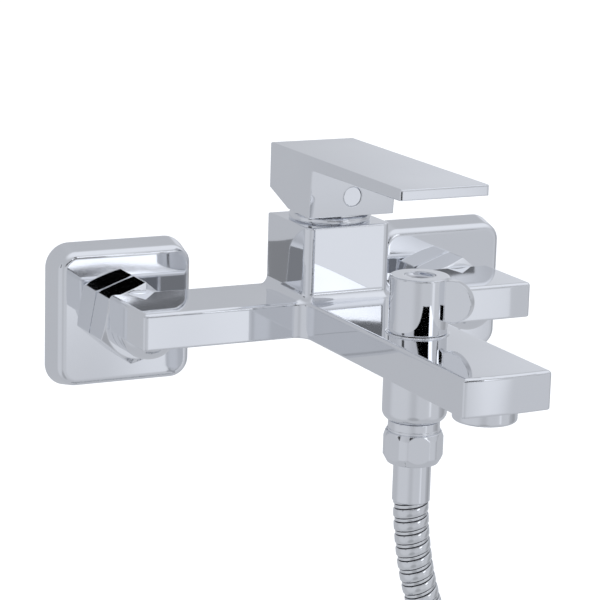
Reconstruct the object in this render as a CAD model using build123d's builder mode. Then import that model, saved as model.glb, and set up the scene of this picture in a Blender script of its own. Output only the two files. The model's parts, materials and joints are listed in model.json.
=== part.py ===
"""Wall mounted bath faucet: single lever mixer with a bath spout and a shower hose outlet.

Frame: +X runs to the right along the wall, +Y into the wall, +Z up.  The wall is the plane
y = 0 and the origin lies midway between the two G1/2 supply threads.  Millimetres.
"""
from build123d import *
from math import atan2, cos, pi, radians, sin, sqrt, tan
import os

os.makedirs("parts", exist_ok=True)

# ---------------------------------------------------------------- driving dimensions
INLET_X = 75.0            # half of the 150 mm spacing of the supply threads
NUT_Z = 8.0               # the eccentric unions lift the faucet by this much
WALL_THREAD_R = 10.48     # G1/2 male thread
WALL_THREAD_LENGTH = 15.0
UNION_THREAD_R = 13.1     # G3/4 male thread on the faucet side of a union

PLATE_WIDTH = 62.6        # escutcheon, at the wall
PLATE_HEIGHT = 60.8
PLATE_DEPTH = 11.8
PLATE_TAPER = 12.0
PLATE_CORNER_R = 10.0
PLATE_WALL = 1.3
PLATE_EDGE_R = 3.0

NUT_FLATS = 30.0
NUT_TURN = {"left": 19.5, "right": 20.0}
NUT_BACK_Y = 12.2
NUT_FRONT_Y = 26.7
TAIL_R = 10.0
TAIL_END_Y = 40.5

ARM_HALF = 89.0
ARM_BACK_Y = 27.0
ARM_FRONT_Y = 64.5
ARM_BOTTOM_Z = 6.5
ARM_TOP_Z = 21.5
ARM_END_R = 1.6
BOSS_R = 12.4             # round inlet boss behind each arm end
BOSS_NOSE_Y = 45.0
BOSS_NOSE_R = 9.0
ARM_SPOUT_R = 5.5         # hollow corner between an arm and the spout
TOP_EDGE_R = 1.5          # softened edges of the casting
BOTTOM_EDGE_R = 0.7

TOWER_HALF = 19.2
TOWER_BACK_Y = 30.0
TOWER_FRONT_Y = 66.3
TOWER_TOP_Z = 52.0
TOWER_CORNER_R = 3.4      # front corners; the back ones are sharp
TOWER_FOOT_R = 4.0        # hollow fillet where the tower meets the arms and the spout

SPOUT_HALF = 18.6
SPOUT_TIP_Y = 194.4
SPOUT_BULGE = 0.8
SPOUT_CORNER_R = 1.2

CARTRIDGE_Y = 48.15       # vertical axis of the mixing cartridge
CARTRIDGE_BORE_R = 13.0
CARTRIDGE_SEAT_Z = 24.0
LOCK_BORE_R = 14.5
LOCK_BORE_Z = 43.0
PIVOT_Z = 44.0            # the lever tilts about this height
SPINDLE_SIDE = 7.0
SPINDLE_TOP_Z = 72.0
LOCK_NUT_HEIGHT = 6.0
COLLAR_R = 16.9
COLLAR_BOTTOM_Z = 52.5
COLLAR_TOP_Z = 55.0
SLIDER_REST = 1.5         # the moving disc starts this far behind the cartridge axis

LEVER_HALF = 19.2
LEVER_BACK_Y = 30.0
LEVER_TIP_Y = 142.0
LEVER_TOP_Z = 81.5
LEVER_TIP_THICKNESS = 4.3
BLOCK_FRONT_Y = 67.0
BLOCK_BOTTOM_Z = 56.2
POST_BOTTOM_Z = 58.8      # square socket post inside the block
SCREW_Z = 64.3            # grub screw in the front of the lever block

GRUB_R = 2.5
CAP_R = 4.05

DIVERTER_Y = 125.3
DIVERTER_STEM_R = 3.5
STEM_TOP_Z = 40.5
KNOB_SCREW_R = 1.9
CAP_RECESS = 2.2
KNOB_R = 11.6
BASE_RING_HEIGHT = 0.4
KNOB_BOTTOM_Z = 22.2
KNOB_TOP_Z = 44.2
KNOB_CAP_R = 6.1
WING_R = 8.3
WING_THICKNESS = 3.2
WING_REACH = 14.4
WING_Z = 35.6
WING_ANGLE = -54.4        # the wing points forward and to the right

OUTLET_BOSS_R = 12.75
OUTLET_BOSS_BOTTOM_Z = -13.5
NIPPLE_NECK_R = 10.2
HOSE_THREAD_R = 10.4      # G1/2 male thread of the hose outlet
NIPPLE_END_Z = -24.6
VALVE_BOTTOM_Z = -13.5

AERATOR_Y = 178.0
AERATOR_R = 12.2
AERATOR_BOTTOM_Z = 0.6
AERATOR_THREAD_R = 10.9

AERATOR_WASHER_Z = 11.2

HOSE_R = 7.0
HOSE_NUT_TURN = -17.4
HOSE_NUT_FLATS = 22.0
HOSE_NUT_CORNER_R = 11.8  # the corners are turned down
HOSE_NUT_TOP_Z = -17.7
HOSE_NUT_BOTTOM_Z = -30.4
FERRULE_R = 7.45
HOSE_START_Z = -46.5
HOSE_ROUTE = [            # x, z of the hanging stretch, top to bottom
    (0.0, HOSE_START_Z),
    (0.0, -72.0),
    (12.0, -108.0),
    (34.0, -145.0),
    (60.0, -180.0),
    (75.0, -216.0),
    (75.0, -248.0),
]
COIL_R = 75.0             # middle of the turns
COIL_CENTRE_Z = -248.0
COIL_TURNS = 2.75
COIL_PITCH = 14.2
COIL_SPREAD = 7.5         # the last turn leans away to make room for the end nut
END_FERRULE_LENGTH = 16.0
END_NUT_R = 12.2
TIE_ARC = 7.0
TIE_THICKNESS = 1.0

BONNET_R = 9.4            # diverter bonnet thread
BONNET_BOTTOM_Z = 15.0
OUTLET_BORE_TOP_Z = -3.0
NIPPLE_TOP_R = 8.9
AERATOR_BORE_TOP_Z = 13.0

FIT = 0.1                 # radial room in threads and running fits
COIL_END_Y = DIVERTER_Y - COIL_TURNS * COIL_PITCH - COIL_SPREAD


def save(shape, name):
    """Label a finished piece and write its STEP file."""
    shape.label = name
    export_step(shape, f"parts/{name}.step")


def front(y):
    """Plane parallel to the wall, y millimetres in front of it, facing out of the wall."""
    return Plane.XZ.offset(y)


# ---------------------------------------------------------------- body casting
channel_z = 13.0
channel_r = 4.5
mixed_port_y = CARTRIDGE_Y + 6.0
supply_port_y = CARTRIDGE_Y - 3.0
supply_port_x = 6.0

with BuildPart() as body_casting:
    # arms and spout: one T-shaped outline, with a slightly bulged tip
    with BuildSketch(Plane.XY.offset(ARM_BOTTOM_Z)) as plan:
        with BuildLine():
            Polyline(
                (SPOUT_HALF, -SPOUT_TIP_Y + SPOUT_BULGE),
                (SPOUT_HALF, -ARM_FRONT_Y),
                (ARM_HALF, -ARM_FRONT_Y),
                (ARM_HALF, -ARM_BACK_Y),
                (-ARM_HALF, -ARM_BACK_Y),
                (-ARM_HALF, -ARM_FRONT_Y),
                (-SPOUT_HALF, -ARM_FRONT_Y),
                (-SPOUT_HALF, -SPOUT_TIP_Y + SPOUT_BULGE),
            )
            ThreePointArc(
                (-SPOUT_HALF, -SPOUT_TIP_Y + SPOUT_BULGE),
                (0, -SPOUT_TIP_Y),
                (SPOUT_HALF, -SPOUT_TIP_Y + SPOUT_BULGE),
            )
        make_face()
        corners = plan.vertices()
        fillet(corners.filter_by(lambda v: abs(abs(v.X) - ARM_HALF) < 0.1), ARM_END_R)
        corners = plan.vertices()
        fillet(
            corners.filter_by(
                lambda v: abs(abs(v.X) - SPOUT_HALF) < 0.1 and abs(v.Y + ARM_FRONT_Y) < 0.1
            ),
            ARM_SPOUT_R,
        )
        corners = plan.vertices()
        fillet(corners.filter_by(lambda v: v.Y < -SPOUT_TIP_Y + SPOUT_BULGE + 0.1), SPOUT_CORNER_R)
    extrude(amount=ARM_TOP_Z - ARM_BOTTOM_Z)
    fillet(body_casting.faces().sort_by(Axis.Z)[-1].edges(), TOP_EDGE_R)
    fillet(body_casting.faces().sort_by(Axis.Z)[0].edges(), BOTTOM_EDGE_R)

    # tower that holds the cartridge
    tower_depth = TOWER_FRONT_Y - TOWER_BACK_Y
    with BuildSketch(Plane.XY.offset(ARM_TOP_Z - 2.0)) as tower_plan:
        with Locations((0, -(TOWER_FRONT_Y + TOWER_BACK_Y) / 2)):
            Rectangle(2 * TOWER_HALF, tower_depth)
        fillet(tower_plan.vertices().group_by(Axis.Y)[0], TOWER_CORNER_R)
    extrude(amount=TOWER_TOP_Z - ARM_TOP_Z + 2.0)

    foot = body_casting.edges().filter_by(
        lambda e: abs(e.center().Z - ARM_TOP_Z) < 0.01
        and abs(e.center().X) < TOWER_HALF + 0.1
        and -TOWER_FRONT_Y - 0.1 < e.center().Y < -TOWER_BACK_Y - 0.1
    )
    fillet(foot, TOWER_FOOT_R)

    # round-nosed inlet bosses under the arm ends, for the inlet tails
    for x in (-INLET_X, INLET_X):
        with BuildSketch(Plane.YZ.offset(x)):
            with BuildLine():
                Polyline(
                    (-BOSS_NOSE_Y, NUT_Z),
                    (-ARM_BACK_Y, NUT_Z),
                    (-ARM_BACK_Y, NUT_Z + BOSS_R),
                    (-BOSS_NOSE_Y + BOSS_NOSE_R, NUT_Z + BOSS_R),
                )
                RadiusArc(
                    (-BOSS_NOSE_Y + BOSS_NOSE_R, NUT_Z + BOSS_R),
                    (-BOSS_NOSE_Y, NUT_Z + BOSS_R - BOSS_NOSE_R),
                    -BOSS_NOSE_R,
                )
                Line((-BOSS_NOSE_Y, NUT_Z + BOSS_R - BOSS_NOSE_R), (-BOSS_NOSE_Y, NUT_Z))
            make_face()
        revolve(axis=Axis((x, 0, NUT_Z), (0, 1, 0)))

    # boss for the hose outlet, below the diverter
    with BuildSketch(Plane.XY.offset(ARM_BOTTOM_Z + 4.0)):
        with Locations((0, -DIVERTER_Y)):
            Circle(OUTLET_BOSS_R)
    extrude(amount=OUTLET_BOSS_BOTTOM_Z - ARM_BOTTOM_Z - 4.0)
    rim = body_casting.edges().filter_by(
        lambda e: abs(e.center().Z - OUTLET_BOSS_BOTTOM_Z) < 0.01
    )
    fillet(rim, 4.0)

    # waterways: two supplies, the mixed water run, and the bore of the cartridge
    for side in (-1, 1):
        with BuildSketch(front(ARM_BACK_Y)):
            with Locations((side * INLET_X, NUT_Z)):
                Circle(TAIL_R + FIT)
        extrude(amount=TAIL_END_Y - ARM_BACK_Y, mode=Mode.SUBTRACT)
        with BuildSketch(front(TAIL_END_Y)):
            with Locations((side * INLET_X, NUT_Z + 2.0)):
                Circle(5.5)
        extrude(amount=supply_port_y - TAIL_END_Y + 3.0, mode=Mode.SUBTRACT)
        with BuildSketch(Plane.YZ.offset(side * supply_port_x)):
            with Locations((-supply_port_y, channel_z)):
                Circle(channel_r)
        extrude(amount=side * (INLET_X - supply_port_x), mode=Mode.SUBTRACT)
        with BuildSketch(Plane.XY.offset(channel_z - 3.0)):
            with Locations((side * supply_port_x, -supply_port_y)):
                Circle(3.0)
        extrude(amount=CARTRIDGE_SEAT_Z - channel_z + 3.5, mode=Mode.SUBTRACT)
    with BuildSketch(Plane.XY.offset(CARTRIDGE_SEAT_Z)):
        with Locations((0, -CARTRIDGE_Y)):
            Circle(CARTRIDGE_BORE_R)
    extrude(amount=TOWER_TOP_Z, mode=Mode.SUBTRACT)
    with BuildSketch(Plane.XY.offset(LOCK_BORE_Z)):
        with Locations((0, -CARTRIDGE_Y)):
            Circle(LOCK_BORE_R)
    extrude(amount=TOWER_TOP_Z, mode=Mode.SUBTRACT)
    with BuildSketch(Plane.XY.offset(channel_z - 3.0)):
        with Locations((0, -mixed_port_y)):
            Circle(3.0)
    extrude(amount=CARTRIDGE_SEAT_Z - channel_z + 3.5, mode=Mode.SUBTRACT)
    with BuildSketch(front(mixed_port_y)):
        with Locations((0, channel_z)):
            Circle(channel_r)
    extrude(amount=AERATOR_Y - mixed_port_y, mode=Mode.SUBTRACT)

    # threaded bores: diverter from above, hose outlet and aerator from below
    with BuildSketch(Plane.XY.offset(BONNET_BOTTOM_Z)):
        with Locations((0, -DIVERTER_Y)):
            Circle(BONNET_R + FIT)
    extrude(amount=ARM_TOP_Z, mode=Mode.SUBTRACT)
    with BuildSketch(Plane.XY.offset(OUTLET_BORE_TOP_Z)):
        with Locations((0, -DIVERTER_Y)):
            Circle(6.0)
    extrude(amount=ARM_TOP_Z, mode=Mode.SUBTRACT)
    with BuildSketch(Plane.XY.offset(OUTLET_BOSS_BOTTOM_Z - 1.0)):
        with Locations((0, -DIVERTER_Y)):
            Circle(NIPPLE_TOP_R + FIT)
    extrude(amount=OUTLET_BORE_TOP_Z - OUTLET_BOSS_BOTTOM_Z + 1.0, mode=Mode.SUBTRACT)
    with BuildSketch(Plane.XY.offset(ARM_BOTTOM_Z - 1.0)):
        with Locations((0, -AERATOR_Y)):
            Circle(AERATOR_THREAD_R + FIT)
    extrude(amount=AERATOR_BORE_TOP_Z - ARM_BOTTOM_Z + 1.0, mode=Mode.SUBTRACT)

    tower_rim = body_casting.edges().filter_by(
        lambda e: abs(e.center().Z - TOWER_TOP_Z) < 0.01
        and not (e.geom_type == GeomType.CIRCLE and abs(e.radius - LOCK_BORE_R) < 0.01)
    )
    fillet(tower_rim, 0.6)
save(body_casting.part, "body_casting")

# ---------------------------------------------------------------- wall side, left and right
FLANGE_R = 12.8
FLANGE_BACK_Y = 19.6
FLANGE_FRONT_Y = 22.1
UNION_END_Y = 17.5
ECCENTRIC_BACK_Y = 2.0
ECCENTRIC_FRONT_Y = 7.0

for side, x in (("left", -INLET_X), ("right", INLET_X)):
    # escutcheon: a tapered, round-cornered shell with a soft front edge
    with BuildPart() as escutcheon:
        with BuildSketch(front(0)):
            with Locations((x, NUT_Z)):
                RectangleRounded(PLATE_WIDTH, PLATE_HEIGHT, PLATE_CORNER_R)
        extrude(amount=PLATE_DEPTH, taper=PLATE_TAPER)
        fillet(escutcheon.faces().sort_by(Axis.Y)[0].edges(), PLATE_EDGE_R)
        with BuildSketch(front(0)):
            with Locations((x, NUT_Z)):
                RectangleRounded(
                    PLATE_WIDTH - 2 * PLATE_WALL,
                    PLATE_HEIGHT - 2 * PLATE_WALL,
                    PLATE_CORNER_R - PLATE_WALL,
                )
        extrude(amount=PLATE_DEPTH - PLATE_WALL, taper=PLATE_TAPER, mode=Mode.SUBTRACT)
        with BuildSketch(front(0)):
            with Locations((x, NUT_Z)):
                Circle(UNION_THREAD_R + 0.4)
        extrude(amount=PLATE_DEPTH + 1.0, mode=Mode.SUBTRACT)
    save(escutcheon.part, f"{side}_escutcheon")

    # eccentric union: G1/2 thread in the wall, G3/4 thread towards the faucet
    with BuildPart() as s_union:
        with BuildSketch(front(-WALL_THREAD_LENGTH)):
            with Locations((x, 0)):
                Circle(WALL_THREAD_R)
        extrude(amount=WALL_THREAD_LENGTH + ECCENTRIC_BACK_Y)
        with BuildSketch(front(ECCENTRIC_BACK_Y)):
            with Locations((x, 0)):
                Circle(UNION_THREAD_R)
            with Locations((x, NUT_Z)):
                Circle(UNION_THREAD_R)
            with Locations((x, NUT_Z / 2)):
                Rectangle(2 * UNION_THREAD_R, NUT_Z)
        extrude(amount=ECCENTRIC_FRONT_Y - ECCENTRIC_BACK_Y)
        with BuildSketch(front(ECCENTRIC_FRONT_Y)):
            with Locations((x, NUT_Z)):
                Circle(UNION_THREAD_R)
        extrude(amount=UNION_END_Y - ECCENTRIC_FRONT_Y)
        with BuildSketch(front(-WALL_THREAD_LENGTH)):
            with Locations((x, 0)):
                Circle(6.5)
        extrude(amount=WALL_THREAD_LENGTH + ECCENTRIC_FRONT_Y - 1.5, mode=Mode.SUBTRACT)
        with BuildSketch(front(ECCENTRIC_BACK_Y + 1.5)):
            with Locations((x, NUT_Z)):
                Circle(8.0)
        extrude(amount=UNION_END_Y, mode=Mode.SUBTRACT)
    save(s_union.part, f"{side}_s_union")

    # hexagonal union nut with a chamfered front and an inner lip behind the tail flange
    with BuildPart() as union_nut:
        with BuildSketch(front(NUT_BACK_Y)):
            with Locations((x, NUT_Z)):
                RegularPolygon(NUT_FLATS / 2, 6, major_radius=False, rotation=NUT_TURN[side])
        extrude(amount=NUT_FRONT_Y - NUT_BACK_Y)
        with BuildSketch(Plane.YZ.offset(x)):
            with BuildLine():
                Polyline(
                    (-NUT_BACK_Y, NUT_Z),
                    (-NUT_FRONT_Y, NUT_Z),
                    (-NUT_FRONT_Y, NUT_Z + NUT_FLATS / 2 - 0.4),
                    (-NUT_FRONT_Y + 1.6, NUT_Z + NUT_FLATS / 2 + 2.6),
                    (-NUT_BACK_Y - 0.8, NUT_Z + NUT_FLATS / 2 + 2.6),
                    (-NUT_BACK_Y, NUT_Z + NUT_FLATS / 2 + 1.0),
                    close=True,
                )
            make_face()
        revolve(axis=Axis((x, 0, NUT_Z), (0, 1, 0)), mode=Mode.INTERSECT)
        with BuildSketch(front(NUT_BACK_Y)):
            with Locations((x, NUT_Z)):
                Circle(UNION_THREAD_R + FIT)
        extrude(amount=FLANGE_FRONT_Y - NUT_BACK_Y, mode=Mode.SUBTRACT)
        with BuildSketch(front(NUT_BACK_Y)):
            with Locations((x, NUT_Z)):
                Circle(TAIL_R + 0.3)
        extrude(amount=NUT_FRONT_Y, mode=Mode.SUBTRACT)
    save(union_nut.part, f"{side}_union_nut")

    # inlet tail: flanged tube screwed into the casting, with a hexagon bore for its key
    with BuildPart() as inlet_tail:
        with BuildSketch(front(FLANGE_BACK_Y)):
            with Locations((x, NUT_Z)):
                Circle(FLANGE_R)
        extrude(amount=FLANGE_FRONT_Y - FLANGE_BACK_Y)
        with BuildSketch(front(FLANGE_FRONT_Y)):
            with Locations((x, NUT_Z)):
                Circle(TAIL_R)
        extrude(amount=TAIL_END_Y - FLANGE_FRONT_Y)
        with BuildSketch(front(FLANGE_BACK_Y)):
            with Locations((x, NUT_Z)):
                RegularPolygon(6.0, 6, major_radius=False)
        extrude(amount=8.0, mode=Mode.SUBTRACT)
        with BuildSketch(front(FLANGE_BACK_Y)):
            with Locations((x, NUT_Z)):
                Circle(5.5)
        extrude(amount=TAIL_END_Y, mode=Mode.SUBTRACT)
    save(inlet_tail.part, f"{side}_inlet_tail")

    # flat sealing washer with a strainer dome pressed into its middle
    with BuildPart() as filter_washer:
        with BuildSketch(front(UNION_END_Y)):
            with Locations((x, NUT_Z)):
                Circle(12.5)
                Circle(7.6, mode=Mode.SUBTRACT)
        extrude(amount=FLANGE_BACK_Y - UNION_END_Y)
    save(filter_washer.part, f"{side}_filter_washer")

    with BuildPart() as strainer:
        with BuildSketch(front(UNION_END_Y - 3.0)):
            with Locations((x, NUT_Z)):
                Circle(7.5)
        extrude(amount=4.6)
        with BuildSketch(front(UNION_END_Y - 2.0)):
            with Locations((x, NUT_Z)):
                Circle(6.7)
        extrude(amount=4.6, mode=Mode.SUBTRACT)
        with BuildSketch(front(UNION_END_Y - 3.0)):
            with Locations((x, NUT_Z)):
                Circle(0.8)
                with PolarLocations(2.6, 6):
                    Circle(0.8)
                with PolarLocations(5.1, 12):
                    Circle(0.8)
        extrude(amount=2.0, mode=Mode.SUBTRACT)
    save(strainer.part, f"{side}_strainer")


# ---------------------------------------------------------------- mixing cartridge
SEAL_TOP_Z = CARTRIDGE_SEAT_Z + 1.4
HOUSING_FLOOR_Z = SEAL_TOP_Z + 3.0
HOUSING_TOP_Z = 43.0
DISC_TOP_Z = HOUSING_FLOOR_Z + 3.0
MOVING_DISC_R = 6.9
MOVING_TOP_Z = DISC_TOP_Z + 3.0
SLIDER_TOP_Z = 38.4
ROTOR_BOTTOM_Z = 38.6
ROTOR_TOP_Z = 52.6
ROTOR_R = 10.9
PIN_R = 1.5
BALL_R = 2.4
BALL_Z = 36.6
ports = [
    (-supply_port_x, -supply_port_y),
    (supply_port_x, -supply_port_y),
    (0, -mixed_port_y),
]
port_r = 2.6

with BuildPart() as base_seal:
    with BuildSketch(Plane.XY.offset(CARTRIDGE_SEAT_Z)):
        with Locations((0, -CARTRIDGE_Y)):
            Circle(CARTRIDGE_BORE_R - FIT)
        with Locations(*ports):
            Circle(port_r, mode=Mode.SUBTRACT)
    extrude(amount=SEAL_TOP_Z - CARTRIDGE_SEAT_Z)
save(base_seal.part, "cartridge_base_seal")

with BuildPart() as housing:
    with BuildSketch(Plane.XY.offset(SEAL_TOP_Z)):
        with Locations((0, -CARTRIDGE_Y)):
            Circle(CARTRIDGE_BORE_R - FIT)
    extrude(amount=HOUSING_TOP_Z - SEAL_TOP_Z)
    with BuildSketch(Plane.XY.offset(HOUSING_FLOOR_Z)):
        with Locations((0, -CARTRIDGE_Y)):
            Circle(ROTOR_R + FIT)
    extrude(amount=HOUSING_TOP_Z, mode=Mode.SUBTRACT)
    with BuildSketch(Plane.XY.offset(SEAL_TOP_Z)):
        with Locations(*ports):
            Circle(port_r)
    extrude(amount=HOUSING_FLOOR_Z, mode=Mode.SUBTRACT)
save(housing.part, "cartridge_housing")

with BuildPart() as fixed_disc:
    with BuildSketch(Plane.XY.offset(HOUSING_FLOOR_Z)):
        with Locations((0, -CARTRIDGE_Y)):
            Circle(ROTOR_R)
        with Locations(*ports):
            Circle(port_r, mode=Mode.SUBTRACT)
    extrude(amount=DISC_TOP_Z - HOUSING_FLOOR_Z)
save(fixed_disc.part, "fixed_ceramic_disc")

# the moving disc and the slider that carries it; a slot takes the lower end of the spindle
slider_y = -CARTRIDGE_Y + SLIDER_REST
with BuildPart() as moving_disc:
    with BuildSketch(Plane.XY.offset(DISC_TOP_Z)):
        with Locations((0, slider_y)):
            Circle(MOVING_DISC_R)
            SlotCenterToCenter(3.0, 4.0, rotation=90, mode=Mode.SUBTRACT)
    extrude(amount=MOVING_TOP_Z - DISC_TOP_Z)
save(moving_disc.part, "moving_ceramic_disc")

with BuildPart() as slider:
    with BuildSketch(Plane.XY.offset(MOVING_TOP_Z)):
        with Locations((0, slider_y)):
            Circle(MOVING_DISC_R + 0.6)
    extrude(amount=SLIDER_TOP_Z - MOVING_TOP_Z)
    with BuildSketch(Plane.XY.offset(MOVING_TOP_Z - 1.0)):
        with Locations((0, -CARTRIDGE_Y)):
            Rectangle(2 * BALL_R + 0.6, 2 * BALL_R + 1.0)
    extrude(amount=SLIDER_TOP_Z, mode=Mode.SUBTRACT)
save(slider.part, "disc_slider")

# swivel rotor: turns in the housing, carries the pivot pin, slotted for the spindle
with BuildPart() as rotor:
    with BuildSketch(Plane.XY.offset(ROTOR_BOTTOM_Z)):
        with Locations((0, -CARTRIDGE_Y)):
            Circle(ROTOR_R)
    extrude(amount=ROTOR_TOP_Z - ROTOR_BOTTOM_Z)
    with BuildSketch(Plane.XY.offset(ROTOR_BOTTOM_Z - 1.0)):
        with Locations((0, -CARTRIDGE_Y)):
            Rectangle(7.6, 15.0)
    extrude(amount=ROTOR_TOP_Z, mode=Mode.SUBTRACT)
    with BuildSketch(Plane.YZ.offset(-ROTOR_R - 1.0)):
        with Locations((-CARTRIDGE_Y, PIVOT_Z)):
            Circle(PIN_R)
    extrude(amount=2 * ROTOR_R + 2.0, mode=Mode.SUBTRACT)
save(rotor.part, "swivel_rotor")

with BuildPart() as pivot_pin:
    with BuildSketch(Plane.YZ.offset(-ROTOR_R + 1.0)):
        with Locations((-CARTRIDGE_Y, PIVOT_Z)):
            Circle(PIN_R)
    extrude(amount=2 * ROTOR_R - 2.0)
save(pivot_pin.part, "pivot_pin")

# spindle: square above, flattened in the middle with the pin hole, a ball at the bottom
with BuildPart() as spindle:
    with BuildSketch(Plane.XY.offset(PIVOT_Z - 4.0)):
        with Locations((0, -CARTRIDGE_Y)):
            Rectangle(SPINDLE_SIDE, SPINDLE_SIDE)
    extrude(amount=SPINDLE_TOP_Z - PIVOT_Z + 4.0)
    chamfer(spindle.faces().sort_by(Axis.Z)[-1].edges(), 0.6)
    with BuildSketch(Plane.XY.offset(BALL_Z)):
        with Locations((0, -CARTRIDGE_Y)):
            Circle(1.7)
    extrude(amount=PIVOT_Z - BALL_Z)
    with Locations((0, -CARTRIDGE_Y, BALL_Z)):
        Sphere(BALL_R)
    with BuildSketch(Plane.YZ.offset(-SPINDLE_SIDE)):
        with Locations((-CARTRIDGE_Y, PIVOT_Z)):
            Circle(PIN_R + 0.05)
    extrude(amount=2 * SPINDLE_SIDE, mode=Mode.SUBTRACT)
save(spindle.part, "lever_spindle")

with BuildPart() as lock_nut:
    with BuildSketch(Plane.XY.offset(LOCK_BORE_Z)):
        with Locations((0, -CARTRIDGE_Y)):
            Circle(LOCK_BORE_R - FIT)
            Circle(ROTOR_R + 0.3, mode=Mode.SUBTRACT)
    extrude(amount=LOCK_NUT_HEIGHT)
    with BuildSketch(Plane.XY.offset(LOCK_BORE_Z + LOCK_NUT_HEIGHT - 2.0)):
        with Locations((0, -CARTRIDGE_Y)):
            with PolarLocations(LOCK_BORE_R, 4):
                Rectangle(4.0, 3.0)
    extrude(amount=3.0, mode=Mode.SUBTRACT)
save(lock_nut.part, "cartridge_lock_nut")

# chrome collar under the lever: a threaded skirt and a rounded flange above a thin gap
with BuildPart() as collar:
    with BuildSketch(Plane.YZ):
        with BuildLine():
            Polyline(
                (-CARTRIDGE_Y + ROTOR_R + 0.4, LOCK_BORE_Z + LOCK_NUT_HEIGHT),
                (-CARTRIDGE_Y + LOCK_BORE_R - FIT, LOCK_BORE_Z + LOCK_NUT_HEIGHT),
                (-CARTRIDGE_Y + LOCK_BORE_R - FIT, COLLAR_BOTTOM_Z),
                (-CARTRIDGE_Y + COLLAR_R, COLLAR_BOTTOM_Z),
                (-CARTRIDGE_Y + COLLAR_R, COLLAR_TOP_Z - 1.5),
            )
            RadiusArc(
                (-CARTRIDGE_Y + COLLAR_R, COLLAR_TOP_Z - 1.5),
                (-CARTRIDGE_Y + COLLAR_R - 1.5, COLLAR_TOP_Z),
                -1.5,
            )
            Polyline(
                (-CARTRIDGE_Y + COLLAR_R - 1.5, COLLAR_TOP_Z),
                (-CARTRIDGE_Y + ROTOR_R + 0.4, COLLAR_TOP_Z),
                (-CARTRIDGE_Y + ROTOR_R + 0.4, LOCK_BORE_Z + LOCK_NUT_HEIGHT),
            )
        make_face()
    revolve(axis=Axis((0, -CARTRIDGE_Y, 0), (0, 0, 1)))
save(collar.part, "dome_collar")


# ---------------------------------------------------------------- lever
SOCKET_TOP_Z = SPINDLE_TOP_Z + 0.5
with BuildPart() as lever:
    with BuildSketch(Plane.YZ.offset(-LEVER_HALF)):
        with BuildLine():
            Polyline(
                (-LEVER_BACK_Y, LEVER_TOP_Z),
                (-LEVER_TIP_Y, LEVER_TOP_Z),
                (-LEVER_TIP_Y, LEVER_TOP_Z - LEVER_TIP_THICKNESS),
                (-BLOCK_FRONT_Y - 1.6, LEVER_TOP_Z - 5.4),
                (-BLOCK_FRONT_Y, BLOCK_BOTTOM_Z),
                (-CARTRIDGE_Y, BLOCK_BOTTOM_Z + 0.7),
                (-LEVER_BACK_Y, BLOCK_BOTTOM_Z + 7.0),
                close=True,
            )
        make_face()
    extrude(amount=2 * LEVER_HALF)
    fillet(lever.edges().filter_by(Axis.Z), 0.8)
    fillet(lever.faces().sort_by(Axis.Z)[-1].edges(), 0.6)
    with BuildSketch(Plane.XY.offset(BLOCK_BOTTOM_Z - 5.0)):
        with Locations((0, -CARTRIDGE_Y)):
            RectangleRounded(31.0, 29.6, 4.0)
    extrude(amount=POST_BOTTOM_Z - BLOCK_BOTTOM_Z + 5.0, mode=Mode.SUBTRACT)
    with BuildSketch(Plane.XY.offset(POST_BOTTOM_Z)):
        with Locations((0, -CARTRIDGE_Y)):
            RectangleRounded(31.0, 29.6, 4.0)
            Rectangle(12.0, 12.0, mode=Mode.SUBTRACT)
    extrude(amount=LEVER_TOP_Z - 6.0 - POST_BOTTOM_Z, mode=Mode.SUBTRACT)
    with BuildSketch(Plane.XY.offset(BLOCK_BOTTOM_Z - 5.0)):
        with Locations((0, -CARTRIDGE_Y)):
            Rectangle(SPINDLE_SIDE + 2 * FIT, SPINDLE_SIDE + 2 * FIT)
    extrude(amount=SOCKET_TOP_Z - BLOCK_BOTTOM_Z + 5.0, mode=Mode.SUBTRACT)
    with BuildSketch(front(CARTRIDGE_Y)):
        with Locations((0, SCREW_Z)):
            Circle(GRUB_R + FIT)
    extrude(amount=40.0, mode=Mode.SUBTRACT)
    with BuildSketch(front(BLOCK_FRONT_Y - 2.2)):
        with Locations((0, SCREW_Z)):
            Circle(CAP_R + 0.08)
    extrude(amount=8.0, mode=Mode.SUBTRACT)
save(lever.part, "lever_handle")

# hexagon socket grub screw, from the spindle out to behind its cap
with BuildPart() as grub_screw:
    with BuildSketch(front(CARTRIDGE_Y + SPINDLE_SIDE / 2)):
        with Locations((0, SCREW_Z)):
            Circle(GRUB_R)
    extrude(amount=12.0)
    with BuildSketch(front(CARTRIDGE_Y + SPINDLE_SIDE / 2 + 12.0)):
        with Locations((0, SCREW_Z)):
            RegularPolygon(1.25, 6, major_radius=False)
    extrude(amount=-3.0, mode=Mode.SUBTRACT)
save(grub_screw.part, "lever_grub_screw")

with BuildPart() as screw_cap:
    with BuildSketch(front(BLOCK_FRONT_Y - 2.2)):
        with Locations((0, SCREW_Z)):
            Circle(CAP_R)
    extrude(amount=2.7)
    chamfer(screw_cap.faces().sort_by(Axis.Y)[0].edges(), 0.3)
save(screw_cap.part, "lever_screw_cap")


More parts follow.
